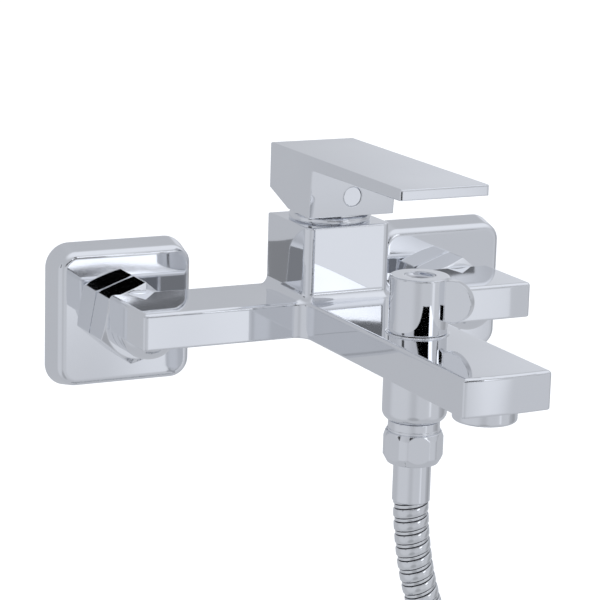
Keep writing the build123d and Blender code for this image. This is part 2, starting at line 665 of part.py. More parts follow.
# ---------------------------------------------------------------- diverter
with BuildPart() as bonnet:
    with BuildSketch(Plane.XY.offset(BONNET_BOTTOM_Z)):
        with Locations((0, -DIVERTER_Y)):
            Circle(BONNET_R)
    extrude(amount=ARM_TOP_Z - BONNET_BOTTOM_Z)
    with BuildSketch(Plane.XY.offset(ARM_TOP_Z)):
        with Locations((0, -DIVERTER_Y)):
            Circle(9.9)
    extrude(amount=BASE_RING_HEIGHT)
    with BuildSketch(Plane.XY.offset(BONNET_BOTTOM_Z - 1.0)):
        with Locations((0, -DIVERTER_Y)):
            Circle(DIVERTER_STEM_R + 0.06)
    extrude(amount=12.0, mode=Mode.SUBTRACT)
    with BuildSketch(Plane.XY.offset(BONNET_BOTTOM_Z + 2.6)):
        with Locations((0, -DIVERTER_Y)):
            Circle(DIVERTER_STEM_R + 1.6)
    extrude(amount=2.0, mode=Mode.SUBTRACT)
save(bonnet.part, "diverter_bonnet")

with BuildPart() as o_ring:
    with BuildSketch(Plane.YZ):
        with Locations((-DIVERTER_Y + DIVERTER_STEM_R + 0.85, BONNET_BOTTOM_Z + 3.6)):
            Circle(0.7)
    revolve(axis=Axis((0, -DIVERTER_Y, 0), (0, 0, 1)))
save(o_ring.part, "diverter_o_ring")

# stem with the plug that opens either the spout or the hose outlet
with BuildPart() as diverter_stem:
    with BuildSketch(Plane.XY.offset(9.0)):
        with Locations((0, -DIVERTER_Y)):
            Circle(DIVERTER_STEM_R)
    extrude(amount=STEM_TOP_Z - 9.0)
    with BuildSketch(Plane.XY.offset(-2.0)):
        with Locations((0, -DIVERTER_Y)):
            Circle(5.9)
    extrude(amount=16.0)
    with BuildSketch(Plane.XY.offset(-3.0)):
        with Locations((0, -DIVERTER_Y)):
            Circle(4.6)
    extrude(amount=12.0, mode=Mode.SUBTRACT)
    with BuildSketch(Plane.XY.offset(4.0)):
        with Locations((0, -DIVERTER_Y - 6.0)):
            Rectangle(7.0, 8.0)
    extrude(amount=6.0, mode=Mode.SUBTRACT)
    with BuildSketch(Plane.XY.offset(STEM_TOP_Z - 7.0)):
        with Locations((0, -DIVERTER_Y)):
            Circle(KNOB_SCREW_R + 0.02)
    extrude(amount=8.0, mode=Mode.SUBTRACT)
save(diverter_stem.part, "diverter_stem")

with BuildPart() as base_ring:
    with BuildSketch(Plane.XY.offset(ARM_TOP_Z)):
        with Locations((0, -DIVERTER_Y)):
            Circle(KNOB_R + 1.0)
            Circle(10.0, mode=Mode.SUBTRACT)
    extrude(amount=BASE_RING_HEIGHT)
    chamfer(base_ring.edges().group_by(Axis.Z)[-1].sort_by(SortBy.LENGTH)[-1], 0.2)
save(base_ring.part, "diverter_base_ring")

# knob: a hollow cup on a splined hub, with a round wing to turn it by
wing_centre = Location((0, -DIVERTER_Y, WING_Z), (0, 0, WING_ANGLE))
wing_plane = Plane(
    origin=(wing_centre * Pos(WING_REACH, WING_THICKNESS / 2, 0)).position,
    x_dir=(cos(radians(WING_ANGLE)), sin(radians(WING_ANGLE)), 0),
    z_dir=(sin(radians(WING_ANGLE)), -cos(radians(WING_ANGLE)), 0),
)
with BuildPart() as knob:
    with BuildSketch(Plane.XY.offset(KNOB_BOTTOM_Z)):
        with Locations((0, -DIVERTER_Y)):
            Circle(KNOB_R)
    extrude(amount=KNOB_TOP_Z - KNOB_BOTTOM_Z)
    with BuildSketch(wing_plane):
        Circle(WING_R)
    extrude(amount=WING_THICKNESS)
    fillet(knob.edges().group_by(Axis.Z)[-1], 0.6)
    with BuildSketch(Plane.XY.offset(KNOB_BOTTOM_Z)):
        with Locations((0, -DIVERTER_Y)):
            Circle(KNOB_R - 1.5)
            Circle(DIVERTER_STEM_R + 2.0, mode=Mode.SUBTRACT)
    extrude(amount=KNOB_TOP_Z - KNOB_BOTTOM_Z - 5.0, mode=Mode.SUBTRACT)
    with BuildSketch(Plane.XY.offset(KNOB_BOTTOM_Z)):
        with Locations((0, -DIVERTER_Y)):
            Circle(DIVERTER_STEM_R + 0.02)
    extrude(amount=STEM_TOP_Z - KNOB_BOTTOM_Z, mode=Mode.SUBTRACT)
    with BuildSketch(Plane.XY.offset(STEM_TOP_Z - 1.0)):
        with Locations((0, -DIVERTER_Y)):
            Circle(KNOB_SCREW_R + 0.1)
    extrude(amount=8.0, mode=Mode.SUBTRACT)
    with BuildSketch(Plane.XY.offset(KNOB_TOP_Z - CAP_RECESS)):
        with Locations((0, -DIVERTER_Y)):
            Circle(KNOB_CAP_R + 0.1)
    extrude(amount=CAP_RECESS + 1.0, mode=Mode.SUBTRACT)
save(knob.part, "diverter_knob")

with BuildPart() as knob_screw:
    with BuildSketch(Plane.XY.offset(STEM_TOP_Z - 6.5)):
        with Locations((0, -DIVERTER_Y)):
            Circle(KNOB_SCREW_R)
    extrude(amount=KNOB_TOP_Z - CAP_RECESS - STEM_TOP_Z + 6.5)
    with BuildSketch(Plane.XY.offset(KNOB_TOP_Z - CAP_RECESS)):
        with Locations((0, -DIVERTER_Y)):
            Circle(3.4)
    extrude(amount=0.9)
    with BuildSketch(Plane.XY.offset(KNOB_TOP_Z - CAP_RECESS + 0.9)):
        with Locations((0, -DIVERTER_Y)):
            Rectangle(4.0, 0.8)
            Rectangle(0.8, 4.0)
    extrude(amount=-0.7, mode=Mode.SUBTRACT)
save(knob_screw.part, "knob_screw")

with BuildPart() as knob_cap:
    with BuildSketch(Plane.XY.offset(KNOB_TOP_Z - CAP_RECESS)):
        with Locations((0, -DIVERTER_Y)):
            Circle(KNOB_CAP_R)
            Circle(3.5, mode=Mode.SUBTRACT)
    extrude(amount=1.2)
    with BuildSketch(Plane.XY.offset(KNOB_TOP_Z - CAP_RECESS + 1.1)):
        with Locations((0, -DIVERTER_Y)):
            Circle(KNOB_CAP_R)
    extrude(amount=0.8)
save(knob_cap.part, "knob_cap")


# ---------------------------------------------------------------- aerator
with BuildPart() as aerator:
    with BuildSketch(Plane.XY.offset(AERATOR_BOTTOM_Z)):
        with Locations((0, -AERATOR_Y)):
            Circle(AERATOR_R)
    extrude(amount=ARM_BOTTOM_Z - AERATOR_BOTTOM_Z)
    fillet(aerator.edges().sort_by(Axis.Z)[0], 1.2)
    with BuildSketch(Plane.XY.offset(ARM_BOTTOM_Z)):
        with Locations((0, -AERATOR_Y)):
            Circle(AERATOR_THREAD_R)
    extrude(amount=AERATOR_WASHER_Z - ARM_BOTTOM_Z)
    with BuildSketch(Plane.XY.offset(AERATOR_BOTTOM_Z)):
        with Locations((0, -AERATOR_Y)):
            Circle(8.6)
    extrude(amount=20.0, mode=Mode.SUBTRACT)
    with BuildSketch(Plane.XY.offset(AERATOR_BOTTOM_Z + 1.5)):
        with Locations((0, -AERATOR_Y)):
            Circle(9.5)
    extrude(amount=20.0, mode=Mode.SUBTRACT)
save(aerator.part, "aerator_housing")

with BuildPart() as insert:
    with BuildSketch(Plane.XY.offset(AERATOR_BOTTOM_Z + 1.5)):
        with Locations((0, -AERATOR_Y)):
            Circle(9.5 - FIT)
    extrude(amount=AERATOR_WASHER_Z - AERATOR_BOTTOM_Z - 1.5)
    with BuildSketch(Plane.XY.offset(AERATOR_BOTTOM_Z)):
        with Locations((0, -AERATOR_Y)):
            with HexLocations(1.55, 7, 7):
                RegularPolygon(1.2, 6, major_radius=False, rotation=30)
            Circle(7.6, mode=Mode.INTERSECT)
    extrude(amount=20.0, mode=Mode.SUBTRACT)
save(insert.part, "aerator_insert")

with BuildPart() as aerator_washer:
    with BuildSketch(Plane.XY.offset(AERATOR_WASHER_Z)):
        with Locations((0, -AERATOR_Y)):
            Circle(AERATOR_THREAD_R - 0.2)
            Circle(8.0, mode=Mode.SUBTRACT)
    extrude(amount=AERATOR_BORE_TOP_Z - AERATOR_WASHER_Z)
save(aerator_washer.part, "aerator_washer")


# ---------------------------------------------------------------- hose outlet
with BuildPart() as nipple:
    with BuildSketch(Plane.XY.offset(NIPPLE_END_Z)):
        with Locations((0, -DIVERTER_Y)):
            Circle(HOSE_THREAD_R)
    extrude(amount=HOSE_NUT_TOP_Z + 1.0 - NIPPLE_END_Z)
    with BuildSketch(Plane.XY.offset(HOSE_NUT_TOP_Z + 1.0)):
        with Locations((0, -DIVERTER_Y)):
            Circle(NIPPLE_NECK_R)
    extrude(amount=OUTLET_BOSS_BOTTOM_Z - HOSE_NUT_TOP_Z - 1.0)
    with BuildSketch(Plane.XY.offset(OUTLET_BOSS_BOTTOM_Z)):
        with Locations((0, -DIVERTER_Y)):
            Circle(NIPPLE_TOP_R)
    extrude(amount=OUTLET_BORE_TOP_Z - OUTLET_BOSS_BOTTOM_Z)
    with BuildSketch(Plane.XY.offset(NIPPLE_END_Z)):
        with Locations((0, -DIVERTER_Y)):
            Circle(5.0)
    extrude(amount=40.0, mode=Mode.SUBTRACT)
    with BuildSketch(Plane.XY.offset(VALVE_BOTTOM_Z)):
        with Locations((0, -DIVERTER_Y)):
            Circle(6.6)
    extrude(amount=40.0, mode=Mode.SUBTRACT)
save(nipple.part, "hose_outlet_nipple")

with BuildPart() as check_valve:
    with BuildSketch(Plane.XY.offset(VALVE_BOTTOM_Z)):
        with Locations((0, -DIVERTER_Y)):
            Circle(6.5)
            Circle(4.4, mode=Mode.SUBTRACT)
    extrude(amount=10.0)
    with BuildSketch(Plane.XY.offset(VALVE_BOTTOM_Z + 4.0)):
        with Locations((0, -DIVERTER_Y)):
            Circle(4.6)
            with PolarLocations(2.9, 4):
                Circle(1.1, mode=Mode.SUBTRACT)
    extrude(amount=2.0)
save(check_valve.part, "hose_check_valve")

with BuildPart() as hose_washer:
    with BuildSketch(Plane.XY.offset(NIPPLE_END_Z - 2.0)):
        with Locations((0, -DIVERTER_Y)):
            Circle(10.0)
            Circle(5.5, mode=Mode.SUBTRACT)
    extrude(amount=2.0)
save(hose_washer.part, "hose_washer")

with BuildPart() as hose_nut:
    with BuildSketch(Plane.XY.offset(HOSE_NUT_BOTTOM_Z)):
        with Locations((0, -DIVERTER_Y)):
            RegularPolygon(HOSE_NUT_FLATS / 2, 6, major_radius=False, rotation=HOSE_NUT_TURN)
    extrude(amount=HOSE_NUT_TOP_Z - HOSE_NUT_BOTTOM_Z)
    with BuildSketch(Plane.YZ):
        with BuildLine():
            Polyline(
                (-DIVERTER_Y, HOSE_NUT_BOTTOM_Z),
                (-DIVERTER_Y + HOSE_NUT_FLATS / 2 - 0.9, HOSE_NUT_BOTTOM_Z),
                (-DIVERTER_Y + HOSE_NUT_CORNER_R, HOSE_NUT_BOTTOM_Z + 3.0),
                (-DIVERTER_Y + HOSE_NUT_CORNER_R, HOSE_NUT_TOP_Z - 2.2),
                (-DIVERTER_Y + HOSE_NUT_FLATS / 2, HOSE_NUT_TOP_Z),
                (-DIVERTER_Y, HOSE_NUT_TOP_Z),
                close=True,
            )
        make_face()
    revolve(axis=Axis((0, -DIVERTER_Y, 0), (0, 0, 1)), mode=Mode.INTERSECT)
    with BuildSketch(Plane.XY.offset(NIPPLE_END_Z - 3.6)):
        with Locations((0, -DIVERTER_Y)):
            Circle(HOSE_THREAD_R + FIT)
    extrude(amount=20.0, mode=Mode.SUBTRACT)
    with BuildSketch(Plane.XY.offset(HOSE_NUT_BOTTOM_Z - 1.0)):
        with Locations((0, -DIVERTER_Y)):
            Circle(FERRULE_R + 0.2)
    extrude(amount=20.0, mode=Mode.SUBTRACT)
save(hose_nut.part, "hose_nut")

with BuildPart() as ferrule:
    with BuildSketch(Plane.XY.offset(NIPPLE_END_Z - 2.0)):
        with Locations((0, -DIVERTER_Y)):
            Circle(10.1)
    extrude(amount=-1.6)
    with BuildSketch(Plane.XY.offset(NIPPLE_END_Z - 3.6)):
        with Locations((0, -DIVERTER_Y)):
            Circle(FERRULE_R)
    extrude(amount=HOSE_START_Z - NIPPLE_END_Z + 3.6)
    chamfer(ferrule.edges().sort_by(Axis.Z)[0], 0.4)
    with BuildSketch(Plane.XY.offset(NIPPLE_END_Z - 2.0)):
        with Locations((0, -DIVERTER_Y)):
            Circle(4.4)
    extrude(amount=-40.0, mode=Mode.SUBTRACT)
save(ferrule.part, "hose_ferrule")


# ---------------------------------------------------------------- shower hose
def corner_radii(points):
    """Arc radius at each inner point: 0.45 of the shorter run over the tangent of half the turn."""
    radii = []
    for before, here, after in zip(points, points[1:], points[2:]):
        run_in = (here[0] - before[0], here[1] - before[1])
        run_out = (after[0] - here[0], after[1] - here[1])
        turn = atan2(run_in[0] * run_out[1] - run_in[1] * run_out[0],
                     run_in[0] * run_out[0] + run_in[1] * run_out[1])
        shorter = min(sqrt(run_in[0] ** 2 + run_in[1] ** 2), sqrt(run_out[0] ** 2 + run_out[1] ** 2))
        radii.append(0.45 * shorter / tan(abs(turn) / 2))
    return radii


radii = corner_radii(HOSE_ROUTE)
route_points = [(x, -DIVERTER_Y, z) for x, z in HOSE_ROUTE]
with BuildPart() as hose:
    with BuildLine() as route:
        FilletPolyline(*route_points, radius=radii)
    with BuildSketch(Plane(origin=route_points[0], z_dir=(0, 0, -1))):
        Circle(HOSE_R)
    sweep(path=route.wires()[0])
save(hose.part, "shower_hose")
print("hose radii", [round(r, 1) for r in radii])
route_length = route.wires()[0].length
print("hose volume over section times length",
      round(hose.part.volume / (pi * HOSE_R ** 2 * route_length), 4),
      "length", round(route_length, 1))

# the rest of the hose, wound into a round coil that hangs in a plane parallel to the wall
coil_axis = Axis((0, 0, COIL_CENTRE_Z), (0, 1, 0))
coil_front_y = DIVERTER_Y + HOSE_R
coil_back_y = COIL_END_Y - HOSE_R
with BuildPart() as coil:
    with BuildSketch(front(coil_back_y)):
        with Locations((0, COIL_CENTRE_Z)):
            Circle(COIL_R + HOSE_R)
            Circle(COIL_R - HOSE_R, mode=Mode.SUBTRACT)
    extrude(amount=coil_front_y - coil_back_y)
    # above the place where the hose joins, the front turn has not begun
    with BuildSketch(front(coil_front_y - COIL_PITCH)):
        with Locations((COIL_R + HOSE_R + 1.0, COIL_CENTRE_Z)):
            Rectangle(COIL_R, COIL_R + 2 * HOSE_R, align=(Align.MAX, Align.MIN))
    extrude(amount=COIL_PITCH + 1.0, mode=Mode.SUBTRACT)
    # past the top of the coil, the back turn has ended and the end nut lies in its place
    with BuildSketch(front(coil_back_y - 1.0)):
        with Locations((0, COIL_CENTRE_Z)):
            Rectangle(COIL_R + 2 * HOSE_R, COIL_R + 2 * HOSE_R, align=(Align.MIN, Align.MIN))
    extrude(amount=HOSE_R + END_NUT_R + 1.7, mode=Mode.SUBTRACT)
save(coil.part, "hose_coil")
print("length with the coil", round(route_length + COIL_TURNS * 2 * pi * COIL_R, 1))

# two ties round the turns, at the left and at the bottom of the coil
tie_depth = coil_front_y - coil_back_y
with BuildPart() as ties:
    for middle in (180.0, 270.0):
        with BuildSketch(Plane.XY.offset(COIL_CENTRE_Z)):
            with Locations((COIL_R, -(coil_front_y + coil_back_y) / 2)):
                RectangleRounded(
                    2 * HOSE_R + 2 * TIE_THICKNESS, tie_depth + 2 * TIE_THICKNESS, 0.9
                )
                Rectangle(2 * HOSE_R, tie_depth, mode=Mode.SUBTRACT)
        band = revolve(axis=coil_axis, revolution_arc=TIE_ARC, mode=Mode.PRIVATE)
        add(band.rotate(coil_axis, -(middle + TIE_ARC / 2)))
save(ties.part, "coil_ties")

# far end of the hose: ferrule and knurled conical nut, lying over the top of the coil
END_Z = COIL_CENTRE_Z + COIL_R
end_axis_y = -COIL_END_Y
with BuildPart() as end_ferrule:
    with BuildSketch(Plane.YZ):
        with Locations((end_axis_y, END_Z)):
            Circle(FERRULE_R)
            Circle(4.4, mode=Mode.SUBTRACT)
    extrude(amount=END_FERRULE_LENGTH)
    with BuildSketch(Plane.YZ.offset(END_FERRULE_LENGTH)):
        with Locations((end_axis_y, END_Z)):
            Circle(10.0)
            Circle(4.4, mode=Mode.SUBTRACT)
    extrude(amount=1.6)
save(end_ferrule.part, "hose_end_ferrule")

END_SEAT_X = END_FERRULE_LENGTH + 1.6
with BuildPart() as end_washer:
    with BuildSketch(Plane.YZ.offset(END_SEAT_X)):
        with Locations((end_axis_y, END_Z)):
            Circle(10.0)
            Circle(5.5, mode=Mode.SUBTRACT)
    extrude(amount=2.0)
save(end_washer.part, "hose_end_washer")

END_NUT_BACK_X = 5.0
END_NUT_MOUTH_X = END_SEAT_X + 12.0
with BuildPart() as end_nut:
    with BuildSketch(Plane.XZ.offset(-end_axis_y)):
        with BuildLine():
            Polyline(
                (END_NUT_BACK_X, END_Z + FERRULE_R + 0.2),
                (END_NUT_BACK_X, END_Z + FERRULE_R + 1.4),
                (END_SEAT_X + 1.0, END_Z + END_NUT_R),
                (END_NUT_MOUTH_X, END_Z + END_NUT_R + 0.4),
                (END_NUT_MOUTH_X, END_Z + HOSE_THREAD_R + 0.15),
                (END_SEAT_X + 2.0, END_Z + HOSE_THREAD_R + 0.15),
                (END_SEAT_X + 2.0, END_Z + 10.1),
                (END_FERRULE_LENGTH, END_Z + 10.1),
                (END_FERRULE_LENGTH, END_Z + FERRULE_R + 0.2),
                close=True,
            )
        make_face()
    revolve(axis=Axis((0, end_axis_y, END_Z), (1, 0, 0)))
save(end_nut.part, "hose_end_nut")
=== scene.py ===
"""Looks of the wall mounted bath faucet: camera, shower hose, chrome and a soft white studio."""
import json
from math import cos, pi, radians, sin

import bmesh
import bpy
import numpy as np
from mathutils import Matrix, Vector
from mathutils.kdtree import KDTree


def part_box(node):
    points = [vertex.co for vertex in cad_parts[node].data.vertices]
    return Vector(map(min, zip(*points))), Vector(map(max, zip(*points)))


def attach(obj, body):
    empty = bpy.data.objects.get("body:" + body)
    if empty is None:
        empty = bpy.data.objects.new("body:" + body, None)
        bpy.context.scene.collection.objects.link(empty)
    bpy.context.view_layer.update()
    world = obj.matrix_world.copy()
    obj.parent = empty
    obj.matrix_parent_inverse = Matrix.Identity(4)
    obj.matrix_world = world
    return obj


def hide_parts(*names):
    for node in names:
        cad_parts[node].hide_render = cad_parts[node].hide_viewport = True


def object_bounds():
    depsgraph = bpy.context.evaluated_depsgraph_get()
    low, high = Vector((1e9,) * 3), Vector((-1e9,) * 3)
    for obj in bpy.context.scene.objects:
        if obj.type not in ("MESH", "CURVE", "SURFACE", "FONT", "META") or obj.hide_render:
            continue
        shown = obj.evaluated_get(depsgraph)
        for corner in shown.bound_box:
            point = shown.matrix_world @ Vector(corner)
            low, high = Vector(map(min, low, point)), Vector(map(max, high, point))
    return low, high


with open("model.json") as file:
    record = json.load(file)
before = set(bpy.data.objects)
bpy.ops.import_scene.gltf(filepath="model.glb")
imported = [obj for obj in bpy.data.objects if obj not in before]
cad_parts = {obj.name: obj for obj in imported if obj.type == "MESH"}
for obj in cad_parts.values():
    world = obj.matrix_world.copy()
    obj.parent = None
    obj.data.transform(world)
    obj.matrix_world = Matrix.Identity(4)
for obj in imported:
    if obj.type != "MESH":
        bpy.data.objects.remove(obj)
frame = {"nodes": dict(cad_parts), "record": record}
CAD_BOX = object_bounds()
MM = 0.001
ROOT = "faucet_body"
NODES = frame["nodes"]


# ---------------------------------------------------------------- camera
CAMERA_AT = Vector((-452.96, -923.04, 246.55)) * MM
CAMERA_AZIMUTH = radians(-26.72)
CAMERA_ELEVATION = radians(13.13)
CAMERA_ROLL = radians(1.71)
CAMERA_LENS = 146.19      # lens and sensor in millimetres
CAMERA_SENSOR = 36.0
CLIP_NEAR = 0.01
CLIP_FAR = 100.0


def make_camera():
    """A long lens from the left, in front of the faucet and a little above it."""
    back = Vector((
        sin(CAMERA_AZIMUTH) * cos(CAMERA_ELEVATION),
        -cos(CAMERA_AZIMUTH) * cos(CAMERA_ELEVATION),
        sin(CAMERA_ELEVATION),
    ))
    level_right = (-back).cross(Vector((0, 0, 1))).normalized()
    level_up = level_right.cross(-back)
    right = level_right * cos(CAMERA_ROLL) + level_up * sin(CAMERA_ROLL)
    up = level_up * cos(CAMERA_ROLL) - level_right * sin(CAMERA_ROLL)
    data = bpy.data.cameras.new("camera")
    data.lens = CAMERA_LENS
    data.sensor_width = CAMERA_SENSOR
    data.clip_start = CLIP_NEAR
    data.clip_end = CLIP_FAR
    camera = bpy.data.objects.new("camera", data)
    bpy.context.scene.collection.objects.link(camera)
    turn = Matrix((right, up, back)).transposed().to_4x4()
    camera.matrix_world = Matrix.Translation(CAMERA_AT) @ turn
    bpy.context.scene.camera = camera


make_camera()


# ---------------------------------------------------------------- materials
EDGE_SOFTNESS = 0.7 * MM  # radius of the polished edges, in the shading only
EDGE_SAMPLES = 6
WAVE_SCALE = 16.0         # slow unevenness of polished plate
TONE_BAND = (0.3, 0.7)    # share of the noise between the two tones of a material
METAL_TONE_SCALE = 25.0
METAL_POLISH_SCALE = 60.0
PLASTIC_TONE_SCALE = 120.0
PLASTIC_POLISH_SCALE = 200.0
# colour of the painted shade in the grooves of the hose's winding
GROOVE_PAINTED_SHADE = (0.10, 0.10, 0.11, 1)
WEAVE_SCALE = 500.0
WEAVE_HEIGHT = 0.2 * MM


def new_material(name):
    """An empty node material and its Principled shader."""
    material = bpy.data.materials.new(name)
    material.use_nodes = True
    return material, material.node_tree, material.node_tree.nodes["Principled BSDF"]


def add_noise(tree, scale, detail=3.0):
    """Noise over the object's own coordinates, in metres."""
    where = tree.nodes.new("ShaderNodeTexCoord")
    noise = tree.nodes.new("ShaderNodeTexNoise")
    noise.inputs["Scale"].default_value = scale
    noise.inputs["Detail"].default_value = detail
    tree.links.new(where.outputs["Object"], noise.inputs["Vector"])
    return noise


def vary_roughness(tree, shader, scale, low, high):
    """Roughness that wanders between low and high."""
    noise = add_noise(tree, scale)
    span = tree.nodes.new("ShaderNodeMapRange")
    span.inputs["To Min"].default_value = low
    span.inputs["To Max"].default_value = high
    tree.links.new(noise.outputs["Fac"], span.inputs["Value"])
    tree.links.new(span.outputs["Result"], shader.inputs["Roughness"])


def vary_colour(tree, shader, scale, dark, light):
    """Base colour that wanders between two close tones."""
    noise = add_noise(tree, scale)
    ramp = tree.nodes.new("ShaderNodeValToRGB")
    for element, position, tone in zip(ramp.color_ramp.elements, TONE_BAND, (dark, light)):
        element.position = position
        element.color = (*tone, 1)
    tree.links.new(noise.outputs["Fac"], ramp.inputs["Fac"])
    tree.links.new(ramp.outputs["Color"], shader.inputs["Base Color"])


def add_bump(tree, shader, scale, distance, wave=0.0):
    """Fine relief, its height in metres. A wave adds the slow unevenness and soft edges of polish."""
    noise = add_noise(tree, scale)
    bump = tree.nodes.new("ShaderNodeBump")
    bump.inputs["Distance"].default_value = distance
    tree.links.new(noise.outputs["Fac"], bump.inputs["Height"])
    if wave:
        slow = add_noise(tree, WAVE_SCALE, detail=0.0)
        waves = tree.nodes.new("ShaderNodeBump")
        waves.inputs["Distance"].default_value = wave
        soft_edge = tree.nodes.new("ShaderNodeBevel")
        soft_edge.samples = EDGE_SAMPLES
        soft_edge.inputs["Radius"].default_value = EDGE_SOFTNESS
        tree.links.new(slow.outputs["Fac"], waves.inputs["Height"])
        tree.links.new(soft_edge.outputs["Normal"], waves.inputs["Normal"])
        tree.links.new(waves.outputs["Normal"], bump.inputs["Normal"])
    tree.links.new(bump.outputs["Normal"], shader.inputs["Normal"])


def metal(name, dark, light, low, high, relief_scale, relief, wave=0.0):
    """A metal with a slow change of tone, uneven polish and fine relief."""
    material, tree, shader = new_material(name)
    shader.inputs["Metallic"].default_value = 1.0
    vary_colour(tree, shader, METAL_TONE_SCALE, dark, light)
    vary_roughness(tree, shader, METAL_POLISH_SCALE, low, high)
    add_bump(tree, shader, relief_scale, relief, wave=wave)
    return material


def plastic(name, dark, light, low, high, relief_scale, relief):
    """A moulded or soft non-metal."""
    material, tree, shader = new_material(name)
    vary_colour(tree, shader, PLASTIC_TONE_SCALE, dark, light)
    vary_roughness(tree, shader, PLASTIC_POLISH_SCALE, low, high)
    add_bump(tree, shader, relief_scale, relief)
    return material


def corrugated(name):
    """Chrome of the hose, with painted shade that darkens its colour in the grooves where its windings
    lock together.
    """
    material = metal(name, (0.80, 0.81, 0.83), (0.88, 0.89, 0.90), 0.05, 0.10, 700.0, 1e-5)
    tree = material.node_tree
    shader = tree.nodes["Principled BSDF"]
    # painted shade: the base colour turns dark deep in the grooves of the winding
    groove_shade_mask = tree.nodes.new("ShaderNodeAttribute")
    groove_shade_mask.attribute_name = "groove_shade_mask"
    shade = tree.nodes.new("ShaderNodeMix")
    shade.data_type = "RGBA"
    shade.inputs["B"].default_value = GROOVE_PAINTED_SHADE
    tree.links.new(groove_shade_mask.outputs["Fac"], shade.inputs["Factor"])
    tree.links.new(shader.inputs["Base Color"].links[0].from_socket, shade.inputs["A"])
    tree.links.new(shade.outputs["Result"], shader.inputs["Base Color"])
    return material


def woven_tape(name):
    """Black hook tape: two crossed waves make its weave."""
    material, tree, shader = new_material(name)
    vary_colour(tree, shader, 900.0, (0.012, 0.012, 0.014), (0.035, 0.035, 0.038))
    vary_roughness(tree, shader, 500.0, 0.75, 0.95)
    shader.inputs["Sheen Weight"].default_value = 0.3
    where = tree.nodes.new("ShaderNodeTexCoord")
    heights = []
    for direction in ("X", "Z"):
        wave = tree.nodes.new("ShaderNodeTexWave")
        wave.bands_direction = direction
        wave.inputs["Scale"].default_value = WEAVE_SCALE
        tree.links.new(where.outputs["Object"], wave.inputs["Vector"])
        heights.append(wave.outputs["Fac"])
    both = tree.nodes.new("ShaderNodeMath")
    both.operation = "MULTIPLY"
    bump = tree.nodes.new("ShaderNodeBump")
    bump.inputs["Distance"].default_value = WEAVE_HEIGHT
    for height, socket in zip(heights, both.inputs):
        tree.links.new(height, socket)
    tree.links.new(both.outputs["Value"], bump.inputs["Height"])
    tree.links.new(bump.outputs["Normal"], shader.inputs["Normal"])
    return material


# name, darkest and lightest tone, least and greatest roughness, scale and height of the relief in
# metres, and for polished plate the height of its slow waves
MATERIALS = {
    "chrome": metal(
        "chrome_plate", (0.86, 0.87, 0.895), (0.88, 0.89, 0.91), 0.02, 0.05, 90.0, 4e-6, 1.3e-3,
    ),
    "hose_metal": corrugated("hose_chrome"),
    "brass": metal(
        "raw_brass", (0.72, 0.52, 0.24), (0.82, 0.63, 0.33), 0.18, 0.32, 900.0, 1.2e-5,
    ),
    "steel": metal(
        "stainless", (0.55, 0.55, 0.56), (0.66, 0.66, 0.67), 0.16, 0.28, 900.0, 1e-5,
    ),
    "cap_gloss": metal(
        "cap_chrome", (0.82, 0.83, 0.86), (0.86, 0.87, 0.89), 0.03, 0.07, 120.0, 5e-6,
    ),
    "rubber": plastic(
        "seal_rubber", (0.018, 0.018, 0.019), (0.04, 0.04, 0.042), 0.55, 0.75, 1500.0, 3e-5,
    ),
    "ceramic": plastic(
        "lapped_ceramic", (0.84, 0.82, 0.77), (0.91, 0.89, 0.85), 0.08, 0.16, 900.0, 4e-6,
    ),
    "white_plastic": plastic(
        "moulded_white", (0.80, 0.80, 0.78), (0.87, 0.87, 0.85), 0.32, 0.45, 700.0, 1.5e-5,
    ),
    "grey_plastic": plastic(
        "moulded_grey", (0.40, 0.41, 0.43), (0.48, 0.49, 0.51), 0.32, 0.45, 700.0, 1.5e-5,
    ),
    "tie": woven_tape("hook_tape"),
}


def finish_piece(piece, slot):
    """Give a piece its material."""
    piece.data.materials.clear()
    piece.data.materials.append(MATERIALS[slot])


for row in frame["record"]["subparts"]:
    finish_piece(NODES[row["node"]], row["material_slot"])


# ---------------------------------------------------------------- mesh helpers
MERGE_DISTANCE = 1e-7
SHARP_ANGLE = radians(38)
LATHE_STEPS = 96


def mesh_piece(name, points, faces, slot, body=ROOT):
    """A smooth mesh piece from points in metres, with its small flat faces removed."""
    mesh = bpy.data.meshes.new(name)
    mesh.from_pydata([tuple(p) for p in points], [], faces)
    work = bmesh.new()
    work.from_mesh(mesh)
    bmesh.ops.remove_doubles(work, verts=work.verts, dist=MERGE_DISTANCE)
    bmesh.ops.dissolve_degenerate(work, dist=MERGE_DISTANCE, edges=work.edges)
    bmesh.ops.recalc_face_normals(work, faces=work.faces)
    work.to_mesh(mesh)
    work.free()
    piece = bpy.data.objects.new(name, mesh)
    bpy.context.scene.collection.objects.link(piece)
    mesh.shade_smooth()
    mesh.set_sharp_from_angle(angle=SHARP_ANGLE)
    finish_piece(piece, slot)
    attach(piece, body)
    return piece


def lathe(name, profile, centre, slot, body):
    """A solid turned about a vertical axis. The profile is radius and height, in millimetres."""
    points, faces = [], []
    for radius, height in profile:
        for j in range(LATHE_STEPS):
            turn = 2 * pi * j / LATHE_STEPS
            points.append(centre + Vector((radius * cos(turn), radius * sin(turn), height)) * MM)
    for i in range(len(profile) - 1):
        here, above = i * LATHE_STEPS, (i + 1) * LATHE_STEPS
        for j in range(LATHE_STEPS):
            k = (j + 1) % LATHE_STEPS
            faces.append((here + j, here + k, above + k, above + j))
    faces.append(tuple(range(LATHE_STEPS - 1, -1, -1)))
    faces.append(tuple(range((len(profile) - 1) * LATHE_STEPS, len(profile) * LATHE_STEPS)))
    return mesh_piece(name, points, faces, slot, body)


# ---------------------------------------------------------------- dished cap of the knob
CAP_RIM_HEIGHT = 0.92
CAP_DISH = [              # radius and height in millimetres; the rim is the highest point
    (5.2, -0.9),
    (6.0, -0.9),
    (6.1, -0.7),
    (6.1, 0.75),
    (6.0, 0.90),
    (5.8, CAP_RIM_HEIGHT),
    (5.5, 0.80),
    (5.1, 0.45),
    (4.5, 0.12),
    (3.5, -0.10),
    (2.0, -0.22),
    (0.05, -0.26),
]


